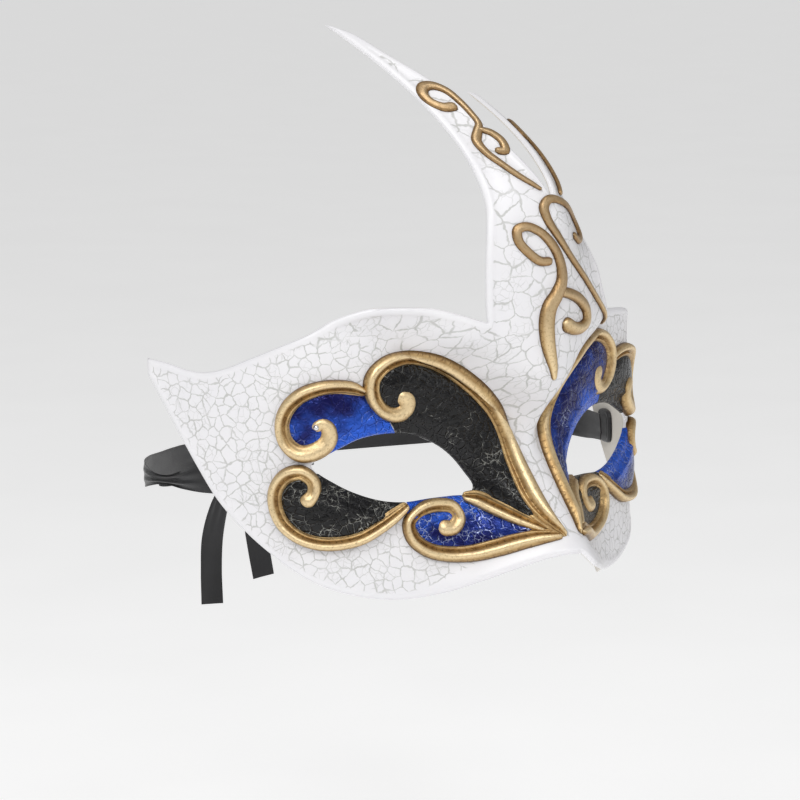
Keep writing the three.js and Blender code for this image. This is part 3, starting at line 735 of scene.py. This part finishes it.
# ---- enamel fields ------------------------------------------------------------------------------
FIELD_THICK = 0.3
FIELDS = {
    "upper_inner": [
        [42.6, 0.5], [44.8, 4.6], [47, 8.4], [50.2, 12.6], [50.8, 17.6], [47.4, 22], [41.2, 23.8],
        [34.6, 22.9], [28.6, 20.3], [22, 16.2], [15.2, 10.6], [10.4, 5.2], [8, 0], [7.2, -10],
        [6.6, -20], [6.6, -25], [10.4, -24.4], [13.6, -21.8], [18, -18.6], [20.8, -16.6], [24, -13],
        [30, -7], [36, -3],
    ],
    "upper_outer": [
        [43.4, 0.5], [45.2, 4.4], [47.2, 8], [50, 12], [54, 14.2], [58.6, 15.6], [63, 16.2], [68, 16],
        [72.6, 14.2], [76.2, 10.6], [77.9, 5.6], [76.8, 0.9], [73.4, -2], [69.2, -2.6], [66.4, -3.4],
        [63.6, -4.4], [57, -1.6], [50, 0.4],
    ],
    "lower_outer": [
        [71, -8.6], [74, -8.4], [78, -10.4], [80.7, -14.5], [80.4, -20], [77, -25.6], [71, -28.4],
        [64, -29], [57, -28], [50.5, -25], [45.5, -21.8], [42.6, -19.6], [42.4, -17.4], [50, -16.4],
        [58, -13], [65, -9.6],
    ],
    "lower_inner": [
        [42, -19.6], [41.6, -25], [40, -29.4], [36.2, -32.8], [30.6, -34.4], [25, -34.4], [19.5, -33],
        [14, -31], [9.8, -29], [8.4, -27.4], [11, -25.4], [15, -22.8], [19.4, -20], [22.4, -17.8],
        [22.4, -16], [30, -16], [38, -16.8],
    ],
}
BLUE_FIELDS = {"right": ("upper_outer", "lower_inner"), "left": ("upper_inner", "lower_outer")}
DOME = {"upper_inner": 0.9, "upper_outer": 0.5, "lower_outer": 0.6, "lower_inner": 0.4}
PROUD = {"upper_inner": 0.1, "upper_outer": 0, "lower_outer": 0, "lower_inner": 0}


def make_field(part, side):
    flip = SIDES[side]
    outline = closed_loop(flip(FIELDS[part]), 0.9)
    middle = np.mean(EYE_OPENING, axis=0) * ((1, 1) if side == "right" else (-1, 1))
    opening = eye_loops[side]
    inner = opening + (middle - opening) / np.linalg.norm(middle - opening, axis=1, keepdims=True) * 0.15
    pattern, faces = area(outline, [inner], 1.0, (0.15, 0.4, 0.8, 1.3))
    from_opening = edge_distance(pattern, [opening]) * np.where(inside(pattern, opening), 0, 1)
    from_edge = edge_distance(pattern, [outline])
    dome = DOME[part] * smooth(from_edge / 7) * smooth(from_opening / 5)
    step = 0.8 * smooth((from_opening - 3.4) / 1.5) * smooth(from_edge / 3)
    step = step + 0.2 * np.exp(-(((from_opening - 5.2) / 0.6) ** 2)) * smooth(from_edge / 3)
    top = -rounded(from_opening, RIM_RADIUS) + FIELD_THICK + PROUD[part] + dome + step
    bottom = np.where(from_opening < 0.05, -SHELL_THICKNESS + 0.15, -RIM_RADIUS)
    slot, paint = ("blue_enamel", BLUE) if part in BLUE_FIELDS[side] else ("black_enamel", BLACK)
    piece = plate(f"enamel_field_{part}_{side}", pattern, faces, top, bottom, "mask", [paint],
                  {"ridge": smooth(from_opening / 11)})
    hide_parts(f"enamel_{part}_{side}")


for side in SIDES:
    for part in FIELDS:
        make_field(part, side)

# ---- gilt scrolls: [across, up, width, curl] ------------------------------------------------------
# curl is 0 where the scroll is a bold roll beside a thin ridge, and 1 where it is one plain roll.
# The bold roll is on the left of the way that the wearer's right scrolls run.
EYE_SCROLLS = {
    "upper_inner": [
        [3.6, -28.6, 2.6, 0], [5.8, -25, 5.4, 0], [7.2, -20, 7.2, 0], [7.9, -10, 7.4, 0],
        [8.8, -1, 7.2, 0], [11.2, 5, 6.9, 0], [15.6, 10.5, 6.5, 0], [22.2, 16.3, 6, 0],
        [28.6, 20.7, 5.4, 0], [34.6, 23.2, 5.2, 0], [41, 24, 5.2, 0], [46.8, 22.3, 6, 0],
        [50.6, 18.4, 6.4, 0], [50.6, 13.4, 6, 0.1], [47.9, 9.4, 5.2, 0.4], [44.2, 8, 5.6, 0.8],
        [41.2, 9.2, 7, 1], [40.8, 11.6, 7.6, 1], [42.2, 12.8, 6.4, 1],
    ],
    "upper_outer": [
        [54.2, 14.8, 3, 0], [57.4, 16, 4.4, 0], [62, 16.6, 4.8, 0], [67.4, 16.2, 5.2, 0],
        [72.6, 14.2, 5.6, 0], [76.6, 10.4, 5.6, 0], [78.2, 5.4, 5.4, 0.1], [77, 0.4, 5.4, 0.4],
        [73.4, -2.5, 5.8, 0.8], [68.8, -1.7, 6.2, 1], [65.4, 1.2, 6.4, 1], [65.2, 4.2, 5.8, 1],
        [66.8, 5.9, 5, 1], [68.6, 5.3, 4.6, 1],
    ],
    "lower_outer": [
        [72, -16.8, 5.6, 1], [70.4, -14.2, 5.2, 0.6], [70.5, -11.2, 5.2, 0.3], [73.4, -8.9, 5.6, 0.2],
        [77.4, -9.8, 5.6, 0.1], [80.3, -13.4, 5.6, 0], [80.8, -18, 5.6, 0], [79, -23, 5.5, 0],
        [74.8, -27, 5.2, 0], [69.6, -29, 5.1, 0], [63.6, -29.3, 5, 0], [57.2, -28.1, 5, 0],
        [51, -25.1, 4.8, 0], [46.4, -22.4, 4.4, 0], [42.6, -20, 3.2, 0],
    ],
    "lower_inner": [
        [31.2, -27, 6, 1], [28.6, -26.8, 5.8, 0.8], [26.8, -24.4, 5.6, 0.5], [28, -21.6, 5.6, 0.3],
        [31.4, -20.7, 5.4, 0.2], [35.6, -21, 5.2, 0.1], [39.2, -22.6, 4.8, 0], [41.5, -25.2, 4.8, 0],
        [40.6, -29.3, 5.2, 0], [36.7, -32.6, 5.6, 0], [31.4, -34.1, 5.8, 0], [25, -34.1, 5.8, 0],
        [19.2, -32.6, 5.6, 0], [14, -30.7, 5.2, 0], [9.4, -29.4, 4.4, 0], [5, -29, 2.6, 0],
    ],
    "leaf": [
        [22.6, -18.4, 3.6, 0], [19.6, -19.2, 5.4, 0], [15.6, -21.8, 5.6, 0], [11.8, -24.6, 5, 0],
        [8.2, -27, 3.2, 0],
    ],
}
CREST_SCROLLS = {
    "horn_scroll_right": [
        [18.2, 98, 2.4, 1], [20.8, 97.8, 2.6, 1], [23.2, 99.2, 2.6, 1], [24, 101.6, 2.8, 1],
        [22.6, 103.6, 2.6, 1], [20, 103.9, 2.4, 1], [17.6, 102.4, 2.3, 1], [16, 99.4, 2.1, 1],
        [14.9, 96, 1.9, 1], [14.4, 93, 1.9, 1], [15.8, 90.6, 2.3, 1], [17, 88.2, 2.6, 1],
        [16, 85, 2.3, 1], [13, 81.4, 2, 1], [9.6, 78, 1.8, 1], [6.6, 75.6, 1.5, 1], [4.6, 74, 1, 1],
    ],
    "horn_curl_right": [
        [14.8, 91.4, 1.6, 1], [12.4, 90.4, 2.2, 1], [10.6, 88, 2.4, 1], [10.8, 85.4, 2.4, 1],
        [12.8, 85.2, 2, 1],
    ],
    "crest_scroll_right": [
        [4.6, 52.8, 2.6, 1], [7.6, 53, 2.8, 1], [11, 55.6, 2.8, 1], [13.6, 59.2, 2.8, 1],
        [13.4, 62.4, 2.8, 1], [10.8, 63.3, 2.7, 1], [7.4, 61.8, 2.7, 1], [4.2, 58.6, 2.9, 1],
        [1.6, 54.6, 3.2, 1], [0.2, 50.4, 3.6, 1], [0.3, 46.4, 4.2, 1], [2.4, 42.6, 4.6, 1],
        [4.9, 39.2, 5, 1], [6, 34.6, 5.2, 1], [5.6, 29.4, 4.8, 1], [4, 23.6, 3.6, 1], [2.2, 17.6, 1.6, 1],
    ],
    "crest_curl_right": [
        [-0.2, 43.4, 3.2, 1], [-4.4, 42.2, 3.4, 1], [-9, 40, 3.8, 1], [-12.4, 36.8, 4, 1],
        [-12.6, 33.4, 4, 1], [-9.4, 31.8, 3.8, 1], [-5.2, 32, 4.2, 1], [-1.6, 33.4, 4.8, 1],
    ],
    "crook_scroll": [
        [-8.4, 59.4, 2.2, 1], [-12, 57.6, 2.4, 1], [-15.4, 58.4, 2.4, 1], [-15.8, 61.4, 2.2, 1],
        [-12.6, 64.8, 2, 1], [-7.5, 67.8, 2, 1], [-1.5, 70.4, 2.2, 1], [2.6, 71, 2.6, 1],
        [4.8, 68.9, 3, 1], [4.2, 64.9, 2.8, 1], [1.1, 59.9, 2.5, 1], [-3.4, 54.6, 2.3, 1],
        [-9.4, 49, 2.3, 1], [-15.6, 43.6, 2.1, 1], [-21.6, 38.6, 2, 1], [-27.4, 34, 1.8, 1],
        [-33.4, 30, 1.2, 1],
    ],
    "horn_scroll_left": [
        [-9.8, 87.4, 1.8, 1], [-8.8, 89, 2.2, 1], [-9.4, 90.8, 2.2, 1], [-11, 91.4, 2.2, 1],
        [-12.2, 89.8, 2.2, 1], [-12, 87, 2.4, 1], [-11, 84.6, 2.6, 1], [-9.4, 79.6, 2.6, 1],
        [-7.2, 75.2, 2.3, 1], [-4.6, 72.2, 1.8, 1],
    ],
}
# Sections across a scroll, from its outer edge at -1 to its inner edge at 1: place, height.
ORNATE = [
    [-1, -0.15], [-1, 0.05], [-0.93, 0.42], [-0.8, 0.74], [-0.62, 0.94], [-0.42, 1], [-0.22, 0.9],
    [-0.06, 0.66], [0.04, 0.42], [0.13, 0.36], [0.22, 0.5], [0.34, 0.66], [0.46, 0.6], [0.56, 0.38],
    [0.64, 0.27], [0.78, 0.25], [0.92, 0.22], [1, 0.05], [1, -0.15],
]
PLAIN = [
    [-1, -0.15], [-1, 0.05], [-0.94, 0.32], [-0.84, 0.55], [-0.7, 0.76], [-0.52, 0.91], [-0.3, 0.99],
    [-0.1, 1], [0.05, 0.97], [0.18, 0.92], [0.32, 0.86], [0.46, 0.8], [0.6, 0.72], [0.72, 0.62],
    [0.82, 0.5], [0.9, 0.37], [0.96, 0.22], [1, 0.05], [1, -0.15],
]
EYE_SCROLL_HEIGHT = 2.5
CREST_SCROLL_HEIGHT = 1.9
SCROLL_STEP = 0.45


def make_scroll(name, stations, node, height, hand=1):
    """A scroll swept along its stations, rounded off at both ends. hand is -1 for a mirrored one."""
    line = curve_through(stations)
    first, last = line[0], line[-1]
    ends = along_line(line[:, :2])
    start_run, end_run = first[2] * 0.4, last[2] * 0.4
    before, after = first.copy(), last.copy()
    before[:2] -= ends[0] * start_run
    after[:2] += ends[-1] * end_run
    line = evenly(np.vstack([before, line, after]), SCROLL_STEP)
    middle, width, curl = line[:, :2], line[:, 2], line[:, 3]
    tangent = along_line(middle)
    left = np.column_stack([-tangent[:, 1], tangent[:, 0]])
    bend = np.gradient(np.unwrap(np.arctan2(tangent[:, 1], tangent[:, 0]))) / SCROLL_STEP
    bend = np.convolve(np.pad(bend, 5, mode="edge"), np.ones(11) / 11, mode="valid")
    along = np.arange(len(line)) * SCROLL_STEP
    round_off = np.ones(len(line))
    for distance, radius in ((along, first[2] * 0.5), (along[-1] - along, last[2] * 0.5)):
        round_off *= np.sqrt(np.clip(1 - np.clip(1 - distance / radius, 0, 1) ** 2, 0.0004, 1))
    half = width / 2 * round_off
    tall = height * np.clip(width / 5, 0.5, 1.1) * round_off
    ornate, plain = np.array(ORNATE), np.array(PLAIN)
    rings, ridge, pattern_rings = [], [], []
    for k in range(len(ornate)):
        place = ornate[k, 0] * (1 - curl) + plain[k, 0] * curl
        rise = ornate[k, 1] * (1 - curl) + plain[k, 1] * curl
        reach = -place * hand * half  # positive to the left
        # towards the centre of a tight bend the section is squeezed, so that it doesn't fold over
        limit = 0.9 / np.maximum(np.abs(bend), 1e-6)
        inner = np.sign(reach) == np.sign(bend)
        reach = np.where(inner, np.sign(reach) * np.minimum(np.abs(reach), limit), reach)
        at = middle + left * reach[:, None]
        pattern_rings.append(at)
        rings.append(lifted(at, rise * tall))
        # painted shade and highlight: the flat rim is lifted out of the painted groove shade and takes a
        # little of the painted highlight
        rim_shade_lift = 0.42 * (1 - curl) if 0.6 < ornate[k, 0] < 0.95 else 0  # the flat rim is bright too
        ridge.append(np.clip(rise + rim_shade_lift, 0, 1) * np.ones(len(line)))
    points = np.stack(rings, axis=1)
    sides = points.shape[1]
    faces = []
    for i in range(len(line) - 1):
        for k in range(sides):
            a, b = i * sides + k, i * sides + (k + 1) % sides
            faces.append((a, b, b + sides, a + sides))
    faces.append(tuple(range(sides)))
    faces.append(tuple(range((len(line) - 1) * sides, len(line) * sides)))
    piece = make(name, points.reshape(-1, 3), faces, "mask", [GOLD],
                 uv=np.stack(pattern_rings, axis=1).reshape(-1, 2),
                 attributes={"ridge": np.stack(ridge, axis=1).ravel()}, sharp=75)
    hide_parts(node)


for side, flip in SIDES.items():
    for part, stations in EYE_SCROLLS.items():
        make_scroll(f"gilt_{part}_{side}", flip(stations), f"scroll_{part}_{side}", EYE_SCROLL_HEIGHT,
                    1 if side == "right" else -1)
for name, stations in CREST_SCROLLS.items():
    make_scroll(f"gilt_{name}", stations, name, CREST_SCROLL_HEIGHT)

# ---- silver bead --------------------------------------------------------------------------------


def make_bead():
    low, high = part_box("silver_bead")
    work = bmesh.new()
    bmesh.ops.create_icosphere(work, subdivisions=4, radius=(high[0] - low[0]) / 2,
                               matrix=Matrix.Translation((low + high) / 2))
    mesh = bpy.data.meshes.new("bead")
    work.to_mesh(mesh)
    work.free()
    mesh.materials.append(SILVER)
    mesh.shade_smooth()
    piece = bpy.data.objects.new("bead", mesh)
    scene.collection.objects.link(piece)
    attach(piece, "mask")
    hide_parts("silver_bead")


make_bead()

# ---- fabric tabs that hold the ribbons inside the temples ---------------------------------------
TAB_OUTLINE = [
    [89, -15.5], [90.5, -17], [98, -17], [99.5, -15.5], [99.5, -8.5], [98, -7], [90.5, -7], [89, -8.5],
]
TAB_GAP = 0.1
TAB_THICK = 1.2


def make_tab(side):
    outline = closed_loop(SIDES[side](TAB_OUTLINE), 0.6)
    pattern, faces = area(outline, [], 0.6, (0.2, 0.5, 0.9))
    distance = edge_distance(pattern, [outline])
    low = -SHELL_THICKNESS - TAB_GAP
    stitches = 0.18 * np.exp(-((distance - 1.3) / 0.3) ** 2)
    bottom = low - TAB_THICK + rounded(distance, 0.7) + stitches
    piece = plate(f"satin_tab_{side}", pattern, faces, np.full(len(pattern), low), bottom, "mask",
                  [SATIN], {"edge": distance})
    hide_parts(f"ribbon_tab_{side}")


for side in SIDES:
    make_tab(side)

# ---- floor, light -------------------------------------------------------------------------------
FLOOR_DROP = 0.12
FLOOR_SIZE = 24.0
STUDIO_GLOW = 0.35


def make_floor():
    n = Nodes("pale_floor")
    paint = n.mix(n.noise(n.place(), 90, 2), colour(238, 238, 238), colour(234, 234, 234))
    n.set(Base_Color=paint, Roughness=0.8, Emission_Color=paint)
    n.shader.inputs["Emission Strength"].default_value = 0.47
    low = cad_box[0][2] - FLOOR_DROP
    half = FLOOR_SIZE / 2
    mesh = bpy.data.meshes.new("floor")
    corners = [(-half, -half, low), (half, -half, low), (half, half, low), (-half, half, low)]
    mesh.from_pydata(corners, [], [(0, 1, 2, 3)])
    mesh.materials.append(n.material)
    floor = bpy.data.objects.new("floor", mesh)
    scene.collection.objects.link(floor)


def add_light(name, azimuth, elevation, distance, size, power):
    """A square soft light aimed at the mask, placed as the camera's azimuth and elevation are."""
    data = bpy.data.lights.new(name, "AREA")
    data.size, data.energy = size, power
    a, e = math.radians(azimuth), math.radians(elevation)
    back = Vector((math.sin(a) * math.cos(e), -math.cos(a) * math.cos(e), math.sin(e)))
    light = bpy.data.objects.new(name, data)
    light.location = VIEW_AIM + back * distance
    light.rotation_euler = back.to_track_quat("Z", "Y").to_euler()
    scene.collection.objects.link(light)


make_floor()
add_light("key_light", -66, 42, 1.5, 0.6, 8)
add_light("fill_light", 20, 22, 1.7, 0.8, 2.2)
add_light("glint_light", -27, 36, 1.5, 0.3, 3.2)
add_light("top_light", -40, 72, 1.4, 0.5, 3)
world = bpy.data.worlds.new("studio")
world.use_nodes = True
world.node_tree.nodes["Background"].inputs["Color"].default_value = (1, 1, 1, 1)
world.node_tree.nodes["Background"].inputs["Strength"].default_value = STUDIO_GLOW
scene.world = world
scene.view_settings.view_transform = "Standard"
